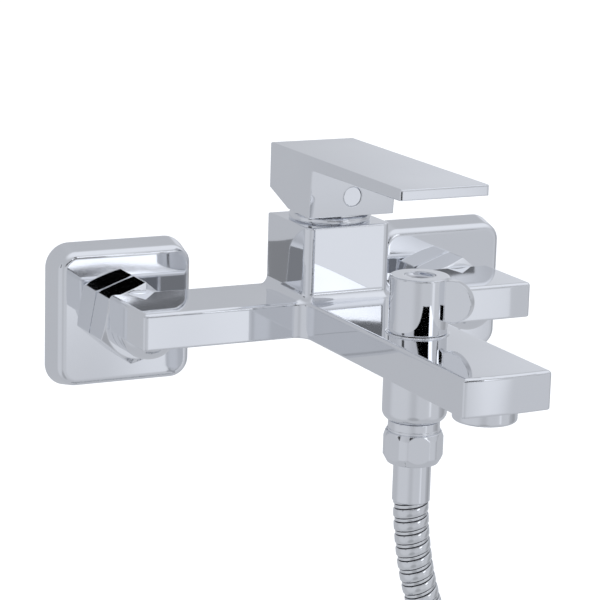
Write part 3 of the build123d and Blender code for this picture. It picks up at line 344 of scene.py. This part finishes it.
def dished_cap():
    """The knob's cap: a shallow dish with a rounded rim."""
    low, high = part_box("knob_cap")
    centre = (low + high) / 2
    centre.z = high.z - CAP_RIM_HEIGHT * MM
    piece = lathe("knob_cap_dished", CAP_DISH, centre, "cap_gloss", "diverter")
    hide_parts("knob_cap")


dished_cap()


# ---------------------------------------------------------------- shower hose
CORD_Y = -125.3
HOSE_START_Z = -46.5
HANGING = [               # x and z of the hanging stretch, top to bottom; the coil takes over below it
    (0.0, HOSE_START_Z),
    (1.0, -70.0),
    (14.0, -108.0),
    (34.0, -145.0),
    (60.0, -180.0),
    (75.0, -216.0),
]
COIL_R = 75.0
COIL_CENTRE_Z = -248.0
COIL_TURNS = 2.75
COIL_PITCH = 14.2
COIL_SPREAD = 7.5
POINTS_PER_TURN = 16
LAST_QUARTER = 0.25       # share of a turn over which the free end leans out of the coil
SPLINE_ORDER = 3
SPLINE_STEPS = 20


def hose_points():
    """Control points of the whole hose, in metres: the hanging stretch, then the coil's turns."""
    points = [Vector((x, CORD_Y, z)) * MM for x, z in HANGING]
    step = 2 * pi / POINTS_PER_TURN
    ring = COIL_R / cos(step / 2)
    count = round(COIL_TURNS * POINTS_PER_TURN)
    for i in range(count + 1):
        turns = i / POINTS_PER_TURN
        lean = max(0.0, turns - COIL_TURNS + LAST_QUARTER) / LAST_QUARTER
        angle = -2 * pi * turns
        radius = ring if 0 < i < count else COIL_R
        points.append(Vector((
            radius * cos(angle),
            CORD_Y + turns * COIL_PITCH + COIL_SPREAD * lean * lean * (3 - 2 * lean),
            COIL_CENTRE_Z + radius * sin(angle),
        )) * MM)
    return points


def centreline(points):
    """The hose's smooth line: points read from a NURBS spline through its control points."""
    curve = bpy.data.curves.new("hose_line", "CURVE")
    curve.dimensions = "3D"
    spline = curve.splines.new("NURBS")
    spline.points.add(len(points) - 1)
    for point, place in zip(spline.points, points):
        point.co = (*place, 1)
    spline.order_u = SPLINE_ORDER
    spline.use_endpoint_u = True
    spline.resolution_u = SPLINE_STEPS
    carrier = bpy.data.objects.new("hose_line", curve)
    bpy.context.scene.collection.objects.link(carrier)
    bpy.context.view_layer.update()
    mesh = bpy.data.meshes.new_from_object(carrier)
    line = np.array([v.co for v in mesh.vertices])
    bpy.data.objects.remove(carrier)
    bpy.data.curves.remove(curve)
    bpy.data.meshes.remove(mesh)
    return line


# one pitch of the double-lock winding: a wide band, a groove, a narrow band, a groove
WINDING_PITCH = 5.3
WINDING = [               # share of the pitch, radius in millimetres
    (0.000, 6.25),
    (0.020, 6.80),
    (0.070, 7.00),
    (0.340, 7.04),
    (0.600, 7.00),
    (0.650, 6.80),
    (0.670, 6.25),
    (0.715, 6.20),
    (0.740, 6.52),
    (0.840, 6.56),
    (0.935, 6.52),
    (0.960, 6.20),
]
AROUND = 30
GROOVE_SHADE_R = 6.5              # painted shade darkens the winding below this radius, fully at the depth given below further in
GROOVE_SHADE_DEPTH = 0.25


def place_along(line):
    """Functions of arc length along a line: its points and two directions across it."""
    steps = np.linalg.norm(np.diff(line, axis=0), axis=1)
    length = np.concatenate([[0], np.cumsum(steps)])
    tangent = np.gradient(line, length, axis=0)
    tangent /= np.linalg.norm(tangent, axis=1)[:, None]
    across = np.zeros_like(line)
    across[0] = (1, 0, 0)
    for i in range(1, len(line)):
        moved = across[i - 1] - tangent[i] * (across[i - 1] @ tangent[i])
        across[i] = moved / np.linalg.norm(moved)
    other = np.cross(tangent, across)

    def at(s):
        return [np.stack([np.interp(s, length, v[:, k]) for k in range(3)], -1)
                for v in (line, across, other)]

    return at, length[-1]


def wound_hose(line):
    """The corrugated skin: a strip wound round the line, whose rows follow the winding."""
    at, total = place_along(line)
    rows = len(WINDING)
    turns = int(total / (WINDING_PITCH * MM)) + 2
    share = np.array([w[0] for w in WINDING])
    radius = np.array([w[1] for w in WINDING]) * MM
    ring = np.arange(turns * rows)
    around = np.arange(AROUND) / AROUND
    pitches = (ring // rows)[:, None] - 1 + share[ring % rows][:, None] + around[None, :]
    s = np.clip(WINDING_PITCH * MM * pitches, 0, total)
    centre, across, other = at(s)
    turn = 2 * pi * around[None, :, None]
    reach = radius[ring % rows][:, None, None]
    points = (centre + reach * (across * np.cos(turn) + other * np.sin(turn))).reshape(-1, 3)
    faces = []
    for n in range(len(ring) - rows - 1):
        for i in range(AROUND):
            if i < AROUND - 1:
                corners = (n, i), (n, i + 1), (n + 1, i + 1), (n + 1, i)
            else:
                corners = (n, i), (n + rows, 0), (n + rows + 1, 0), (n + 1, i)
            faces.append([a * AROUND + b for a, b in corners])
    return points, faces


def mark_groove_shade(piece, line):
    """Store how deep each point lies in the groove of the winding, 0 to 1, as the mask of the
    material's painted shade in the grooves.
    """
    tree = KDTree(len(line))
    for i, place in enumerate(line):
        tree.insert(place, i)
    tree.balance()
    shade = piece.data.attributes.new("groove_shade_mask", "FLOAT", "POINT")
    for i, vertex in enumerate(piece.data.vertices):
        near = tree.find(vertex.co)[1]
        here = Vector(line[near])
        along = Vector(line[min(near + 1, len(line) - 1)] - line[max(near - 1, 0)]).normalized()
        offset = vertex.co - here
        reach = (offset - along * offset.dot(along)).length / MM
        shade.data[i].value = min(1.0, max(0.0, (GROOVE_SHADE_R - reach) / GROOVE_SHADE_DEPTH))


line = centreline(hose_points())
hose = mesh_piece("hose", *wound_hose(line), "hose_metal")
# painted shade in the hose's grooves, read by its material
mark_groove_shade(hose, line)
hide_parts("shower_hose", "hose_coil")


# ---------------------------------------------------------------- knurled end nut of the hose
KNURLS = 36
KNURL_DEPTH = 0.35
NUT_BORE_R = 7.70
THREAD_R = 10.6
NUT_PROFILE = [           # share of the nut's length, radius, how much of the knurl shows
    (0.00, NUT_BORE_R, 0.0),
    (0.00, 8.60, 0.0),
    (0.04, 8.95, 0.0),
    (0.10, 9.30, 1.0),
    (0.45, 11.6, 1.0),
    (0.52, 12.1, 0.0),
    (0.56, 12.2, 0.0),
    (0.60, 12.2, 1.0),
    (0.92, 12.5, 1.0),
    (0.97, 12.4, 0.0),
    (1.00, 12.0, 0.0),
    (1.00, THREAD_R, 0.0),
]
THREAD_TURNS = 7
THREAD_SAMPLES = 8        # rings of points per turn of the thread
THREAD_DEPTH = 0.55
THREAD_LENGTH = 9.6
THREAD_LEAD = 0.4         # plain mouth before the thread
THREAD_END = 0.3          # step from the thread down to the bore
NUT_AROUND = 216


def end_nut():
    """Conical nut with a knurled grip and a thread inside its mouth."""
    low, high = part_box("hose_end_nut")
    centre_y = (low.y + high.y) / 2
    centre_z = (low.z + high.z) / 2
    length = high.x - low.x
    rings = [(share * length, r * MM, knurl, 0.0) for share, r, knurl in NUT_PROFILE]
    depth = THREAD_LENGTH * MM
    mouth = length - THREAD_LEAD * MM
    samples = THREAD_TURNS * THREAD_SAMPLES
    for i in range(samples + 1):
        rings.append((mouth - depth * i / samples, THREAD_R * MM, 0.0, 1.0))
    rings.append((mouth - depth - THREAD_END * MM, NUT_BORE_R * MM, 0.0, 0.0))
    points = []
    for x, r, knurl, thread in rings:
        for j in range(NUT_AROUND):
            turn = 2 * pi * j / NUT_AROUND
            cut = knurl * KNURL_DEPTH * MM * max(0.0, -cos(KNURLS * turn))
            phase = x / (depth / THREAD_TURNS) + j / NUT_AROUND
            ridge = thread * THREAD_DEPTH * MM * abs(2 * (phase % 1) - 1) * 0.5
            reach = r - cut - ridge
            points.append((low.x + x, centre_y + reach * cos(turn), centre_z + reach * sin(turn)))
    count = len(rings)
    faces = []
    for i in range(count):
        for j in range(NUT_AROUND):
            here, ahead = i * NUT_AROUND, (i + 1) % count * NUT_AROUND
            k = (j + 1) % NUT_AROUND
            faces.append([here + j, here + k, ahead + k, ahead + j])
    piece = mesh_piece("hose_end_nut_knurled", points, faces, "chrome")
    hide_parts("hose_end_nut")
    return piece


knurled_nut = end_nut()


# ---------------------------------------------------------------- studio
TINT = (0.95, 0.98, 1.045, 1)
CARD_STEPS = 24


def studio_panel(name, points, faces, strength):
    """A glowing or dark panel that shows only in reflections."""
    mesh = bpy.data.meshes.new(name)
    mesh.from_pydata(points, [], faces)
    panel = bpy.data.objects.new(name, mesh)
    bpy.context.scene.collection.objects.link(panel)
    material = bpy.data.materials.new(name)
    material.use_nodes = True
    tree = material.node_tree
    tree.nodes.clear()
    light = tree.nodes.new("ShaderNodeEmission")
    light.inputs["Color"].default_value = TINT
    light.inputs["Strength"].default_value = strength
    out = tree.nodes.new("ShaderNodeOutputMaterial")
    tree.links.new(light.outputs["Emission"], out.inputs["Surface"])
    mesh.materials.append(material)
    panel.visible_camera = False
    panel.visible_diffuse = False
    panel.visible_shadow = False


def curved_card(name, azimuths, heights, distance, strength):
    """A panel that stands round the faucet, between two azimuths and two elevations."""
    points, faces = [], []
    for i in range(CARD_STEPS + 1):
        azimuth = radians(azimuths[0] + (azimuths[1] - azimuths[0]) * i / CARD_STEPS)
        for elevation in heights:
            rise = distance * sin(radians(elevation)) / cos(radians(elevation))
            points.append((distance * sin(azimuth), -distance * cos(azimuth), rise))
    for i in range(CARD_STEPS):
        faces.append([2 * i, 2 * i + 1, 2 * i + 3, 2 * i + 2])
    studio_panel(name, points, faces, strength)


def flat_card(name, left, right, zs, strength):
    """An upright panel between two places (x, y) and two heights, in millimetres."""
    corners = (left, zs[0]), (right, zs[0]), (right, zs[1]), (left, zs[1])
    points = [(at[0] * MM, at[1] * MM, z * MM) for at, z in corners]
    studio_panel(name, points, [(0, 1, 2, 3)], strength)


# soft lights and shades of the surroundings: azimuth, elevation, outer and inner radius in
# degrees, and how much brighter or darker the middle is than BASE_LEVEL
BASE_LEVEL = 0.53
SOFT_LIGHTS = [
    (50.0, -13.0, 38.0, 18.0, 0.08),      # broad light to the front and right
    (27.0, -13.0, 7.0, 1.5, 0.20),        # the brightest part in front
    (0.0, -13.0, 30.0, 12.0, 0.07),       # light straight in front
    (-85.0, -13.0, 48.0, 20.0, 0.10),     # light from the left
    (18.0, 13.0, 13.0, 6.5, 0.84),        # key light in front, above
    (139.0, 6.0, 17.5, 8.0, 0.20),        # light behind, to the right
    (84.0, -13.0, 24.0, 9.0, -0.15),      # shade to the right
    (-33.0, -38.0, 22.0, 10.0, -0.12),    # shade low in front, to the left
    (60.0, 70.0, 60.0, 20.0, 0.34),       # pale ceiling
]


def towards(azimuth, elevation):
    """Unit vector. Azimuth 0 is straight in front of the wall, 90 is to the right."""
    a, e = radians(azimuth), radians(elevation)
    return sin(a) * cos(e), -cos(a) * cos(e), sin(e)


def make_world():
    """Pale grey surroundings with soft lights and shades. The camera sees plain white."""
    world = bpy.data.worlds.new("studio")
    bpy.context.scene.world = world
    world.use_nodes = True
    tree = world.node_tree
    tree.nodes.clear()
    link = tree.links.new
    where = tree.nodes.new("ShaderNodeTexCoord")
    level = tree.nodes.new("ShaderNodeValue")
    level.outputs[0].default_value = BASE_LEVEL
    total = level.outputs[0]
    for azimuth, elevation, outer, inner, strength in SOFT_LIGHTS:
        nearness = tree.nodes.new("ShaderNodeVectorMath")
        nearness.operation = "DOT_PRODUCT"
        nearness.inputs[1].default_value = towards(azimuth, elevation)
        glow = tree.nodes.new("ShaderNodeMapRange")
        glow.interpolation_type = "SMOOTHSTEP"
        glow.inputs["From Min"].default_value = cos(radians(outer))
        glow.inputs["From Max"].default_value = cos(radians(inner))
        glow.inputs["To Max"].default_value = strength
        both = tree.nodes.new("ShaderNodeMath")
        link(where.outputs["Generated"], nearness.inputs[0])
        link(nearness.outputs["Value"], glow.inputs["Value"])
        link(total, both.inputs[0])
        link(glow.outputs["Result"], both.inputs[1])
        total = both.outputs["Value"]
    tinted = tree.nodes.new("ShaderNodeMix")
    tinted.data_type = "RGBA"
    tinted.blend_type = "MULTIPLY"
    tinted.inputs["Factor"].default_value = 1.0
    tinted.inputs["B"].default_value = TINT
    surroundings = tree.nodes.new("ShaderNodeBackground")
    plain = tree.nodes.new("ShaderNodeBackground")
    plain.inputs["Color"].default_value = (1, 1, 1, 1)
    path = tree.nodes.new("ShaderNodeLightPath")
    choose = tree.nodes.new("ShaderNodeMixShader")
    out = tree.nodes.new("ShaderNodeOutputWorld")
    link(total, tinted.inputs["A"])
    link(tinted.outputs["Result"], surroundings.inputs["Color"])
    link(path.outputs["Is Camera Ray"], choose.inputs["Fac"])
    link(surroundings.outputs["Background"], choose.inputs[1])
    link(plain.outputs["Background"], choose.inputs[2])
    link(choose.outputs["Shader"], out.inputs["Surface"])


FLOOR_REACH = 12.0        # metres from the middle to each side
FLOOR_GAP = 4 * MM        # below the lowest piece
FLOOR_TONE_SCALE = 3.0
FLOOR_ROUGHNESS = 0.9
FLOOR_GLOW = 0.5


def make_floor():
    """A wide white floor below the coil."""
    height = CAD_BOX[0].z - FLOOR_GAP
    corners = (-1, -1), (1, -1), (1, 1), (-1, 1)
    points = [(x * FLOOR_REACH, y * FLOOR_REACH, height) for x, y in corners]
    mesh = bpy.data.meshes.new("floor")
    mesh.from_pydata(points, [], [(0, 1, 2, 3)])
    floor = bpy.data.objects.new("floor", mesh)
    bpy.context.scene.collection.objects.link(floor)
    material, tree, shader = new_material("floor_white")
    vary_colour(tree, shader, FLOOR_TONE_SCALE, (0.93, 0.93, 0.93), (0.96, 0.96, 0.96))
    shader.inputs["Roughness"].default_value = FLOOR_ROUGHNESS
    shader.inputs["Emission Color"].default_value = (1, 1, 1, 1)
    shader.inputs["Emission Strength"].default_value = FLOOR_GLOW
    mesh.materials.append(material)
    floor.visible_glossy = False


# upright panels, each seen by only a few of the polished faces: left and right end (x, y), the two
# heights in millimetres, and strength, where 0 is black
FRONT = -300
BACK = 126
FLAGS = [
    ("flag_before_knob", (-175, FRONT), (36, FRONT), (32, 77), 0.0),
    ("flag_before_nut", (-45, FRONT), (8, FRONT), (113, 200), 0.0),
]
CARDS = [
    ("card_behind_tower", (-115, BACK), (-97, BACK), (-23, 5), 0.24),
    ("card_behind_plate", (4, BACK), (46, BACK), (-36, 15), 0.20),
    ("card_behind_arms", (-15, 30), (30, 30), (-5, 33), 0.24),
    ("card_before_arms", (-20, FRONT), (260, FRONT), (93, 113), 0.16),
    ("card_before_plate", (222, FRONT), (300, FRONT), (-80, -20), 0.58),
]
LEFT_FLAG = {"azimuths": (-88, -77), "heights": (7, 22), "distance": 1.3, "strength": 0.08}
MAX_BOUNCES = 16
GLOSSY_BOUNCES = 14

make_world()
make_floor()
for flag in FLAGS:
    flat_card(*flag)
curved_card("flag_left", **LEFT_FLAG)
for card in CARDS:
    flat_card(*card)
bpy.context.scene.cycles.max_bounces = MAX_BOUNCES
bpy.context.scene.cycles.glossy_bounces = GLOSSY_BOUNCES
bpy.context.scene.view_settings.view_transform = "Standard"
